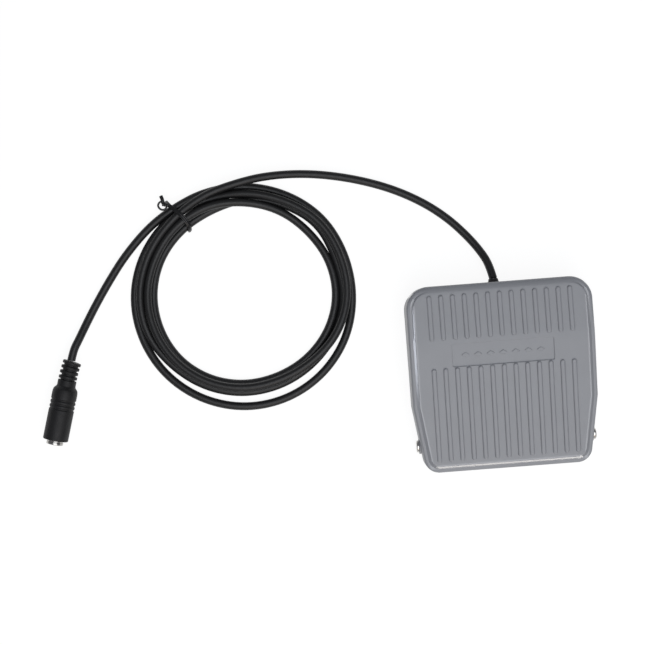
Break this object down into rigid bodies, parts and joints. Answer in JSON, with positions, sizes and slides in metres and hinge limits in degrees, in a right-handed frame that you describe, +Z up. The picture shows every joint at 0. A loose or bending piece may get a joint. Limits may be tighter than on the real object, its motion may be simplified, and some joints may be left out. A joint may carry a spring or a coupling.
{
  "type": "push-to-talk foot switch",
  "caption": "Foot switch: a ribbed wedge-shaped pedal cover hinged over a base tray with a snap switch and return springs, and a tied coil of cable that ends in an inline jack socket.",
  "frame": {"origin": "middle of the pedal unit's footprint, on the floor that its mat stands on; the free cable and what is on it are left out of this box", "axes": "+X to the right as the user's foot comes from the front, +Y to the rear where the cable leaves, +Z up"},
  "size_m": [0.2972, 0.168, 0.029],
  "materials": {
    "cover_plastic": "fine satin moulded grey ABS",
    "base_plastic": "satin moulded darker grey ABS",
    "mat_rubber": "matt black rubber",
    "pin_steel": "bright nickel plated steel",
    "spring_steel": "zinc plated spring wire",
    "switch_black": "black glass filled nylon",
    "plunger_red": "red acetal",
    "lever_steel": "stainless spring sheet",
    "terminal_silver": "tinned brass",
    "screw_zinc": "zinc plated steel",
    "cable_pvc": "satin black PVC",
    "grommet_rubber": "matt black rubber",
    "wire_red": "red PVC insulation",
    "wire_white": "white PVC insulation",
    "tie_pvc": "glossy black PVC coated wire",
    "overmould_pvc": "satin black moulded PVC",
    "nickel": "bright nickel plate",
    "insulator_black": "black moulded plastic",
    "contact_brass": "spring brass"
  },
  "bodies": {
    "base": {"base_tray": "base_plastic", "anti_slip_mat": "mat_rubber", "hinge_pin": "pin_steel", "hinge_pin_cap": "pin_steel", "return_spring_left": "spring_steel", "return_spring_right": "spring_steel", "switch_case": "switch_black", "terminal_common": "terminal_silver", "terminal_normally_open": "terminal_silver", "terminal_normally_closed": "terminal_silver", "switch_screws": "screw_zinc", "cable_clamp": "base_plastic", "clamp_screws": "screw_zinc", "cable_grommet": "grommet_rubber", "cable_inner_end": "cable_pvc", "wire_common": "wire_white", "wire_normally_open": "wire_red", "cable_lead": "cable_pvc", "cable_coil": "cable_pvc", "cable_tail": "cable_pvc", "twist_tie": "tie_pvc", "connector_overmould": "overmould_pvc", "socket_nose": "nickel", "socket_insulator": "insulator_black", "tip_contact": "contact_brass"},
    "pedal": {"pedal_cover": "cover_plastic"},
    "lever": {"switch_lever": "lever_steel"},
    "plunger": {"switch_plunger": "plunger_red"}
  },
  "joints": [
    {"name": "pedal_press", "type": "hinge", "parent": "base", "child": "pedal", "pos_m": [0, -0.0353, 0.01], "axis": [-1, 0, 0], "range_deg": [0, 4], "stiffness_Nm_per_rad": 3, "springref_deg": -3.44, "deforming": ["return_spring_left", "return_spring_right"]},
    {"name": "lever_swing", "type": "hinge", "parent": "base", "child": "lever", "pos_m": [0, -0.01, 0.0178], "axis": [-1, 0, 0], "range_deg": [0, 11.8]},
    {"name": "plunger_travel", "type": "slide", "parent": "base", "child": "plunger", "axis": [0, 0, -1], "range_m": [0, 0.00093]}
  ],
  "couplings": [
    {"joint": "lever_swing", "follows": "pedal_press", "ratio": 2.94},
    {"joint": "plunger_travel", "follows": "pedal_press", "m_per_rad": 0.01318}
  ]
}
